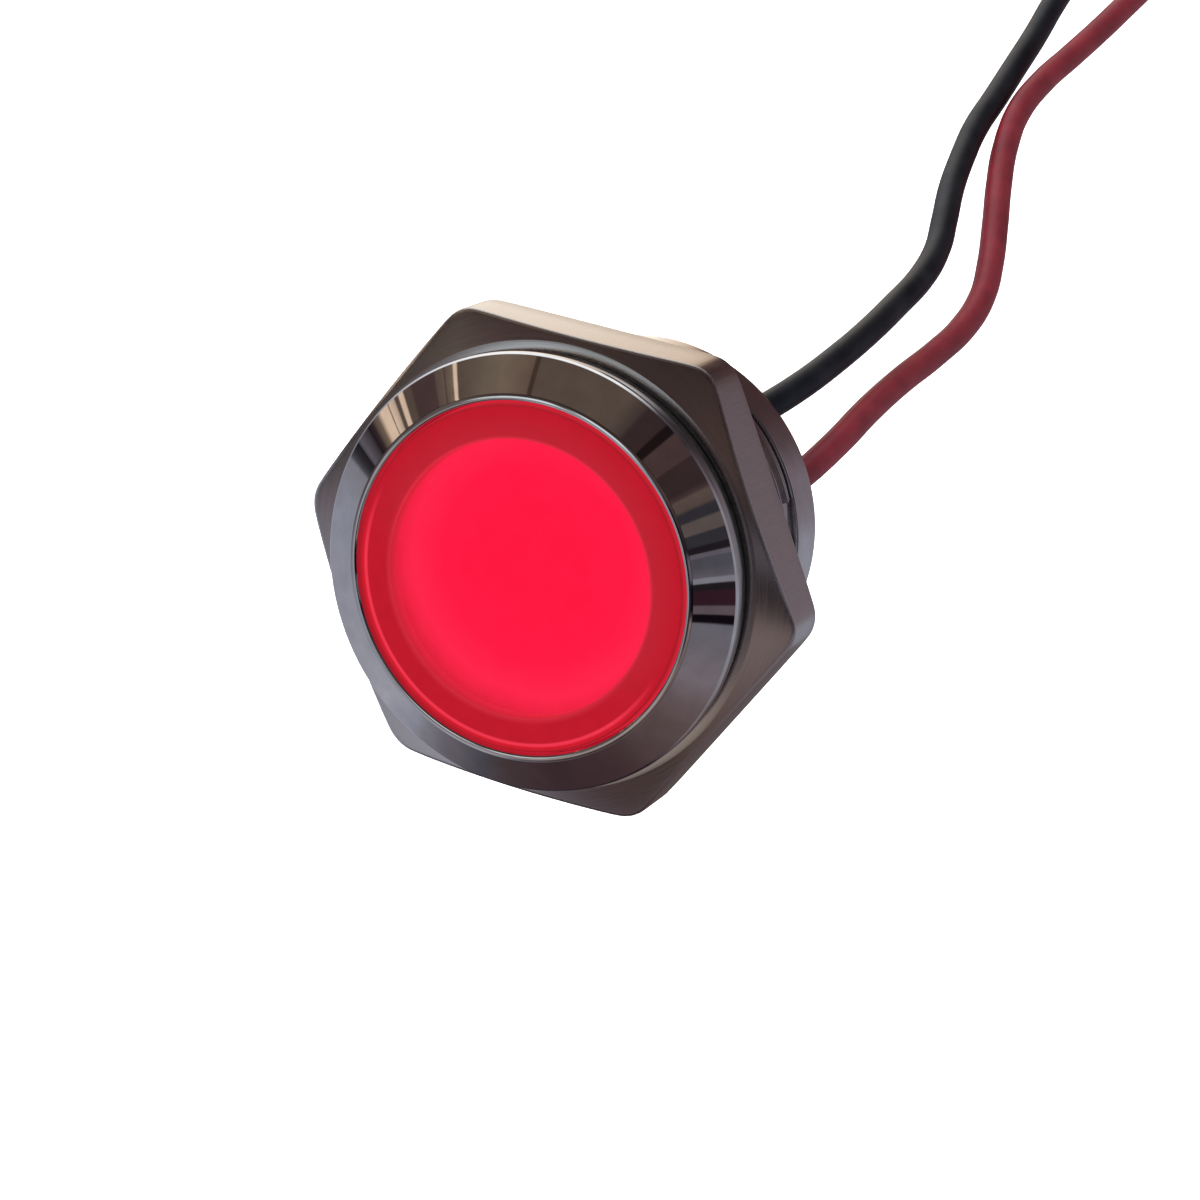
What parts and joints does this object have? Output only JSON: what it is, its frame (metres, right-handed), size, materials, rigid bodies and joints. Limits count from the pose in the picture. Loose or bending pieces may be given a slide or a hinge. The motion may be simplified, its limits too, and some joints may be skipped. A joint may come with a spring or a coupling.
{
  "type": "illuminated push button",
  "caption": "Round metal momentary push button with a flat lit cap, sloped bezel, threaded barrel, hex nut, seal and two wire leads.",
  "frame": {"origin": "on the button's axis, in the plane of the panel's front face, which is the underside of the head", "axes": "+Z along the button's axis out of the lens cap; X and Y are square to two of the nut's six flats' directions, +X being the normal of one flat"},
  "size_m": [0.0277, 0.0485, 0.1582],
  "materials": {
    "bezel_chrome": "polished chromed brass, slightly darkened",
    "seal_rubber": "matt black rubber",
    "nut_nickel": "satin nickel plate with fine drawn lines",
    "lens_red": "frosted translucent red, lit from behind",
    "diffuser_white": "milky diffuser film",
    "black_moulding": "moulded black nylon",
    "spring_steel": "drawn stainless spring wire",
    "contact_copper": "stamped copper alloy",
    "contact_silver": "silver plate",
    "board_green": "solder-masked glass epoxy",
    "led_body": "clear red resin",
    "chip_black": "black moulded chip",
    "reflector_white": "white moulded cup",
    "solder_tin": "tinned copper and solder",
    "potting_resin": "dark cast resin",
    "black_insulation": "black insulation with a soft sheen",
    "red_insulation": "dark red insulation with a soft sheen"
  },
  "bodies": {
    "housing": {"bezel_barrel": "bezel_chrome", "panel_seal": "seal_rubber", "return_spring": "spring_steel", "contact_carrier": "black_moulding", "fixed_contact_left": "contact_copper", "fixed_contact_right": "contact_copper", "contact_rivets": "contact_silver", "led_board": "board_green", "leds": "led_body", "resistor": "chip_black", "diode": "chip_black", "reflector": "reflector_white", "board_pins": "contact_silver", "solder_joints": "solder_tin", "rear_plug": "potting_resin", "black_lead": "black_insulation", "red_lead": "red_insulation", "black_lead_tip": "solder_tin", "red_lead_tip": "solder_tin"},
    "button": {"lens_cap": "lens_red", "diffuser": "diffuser_white", "plunger_sleeve": "black_moulding", "plunger_seal": "seal_rubber", "retaining_clip": "spring_steel", "contact_ring": "contact_copper"},
    "nut": {"hex_nut": "nut_nickel"}
  },
  "joints": [
    {"name": "button_press", "type": "slide", "parent": "housing", "child": "button", "axis": [0, 0, -1], "range_m": [0, 0.0015], "stiffness_N_per_m": 1000, "springref_m": -0.002, "deforming": ["return_spring"]},
    {"name": "nut_turn", "type": "hinge", "parent": "housing", "child": "nut", "pos_m": [0, 0, -0.003], "axis": [0, 0, 1], "continuous": true}
  ]
}
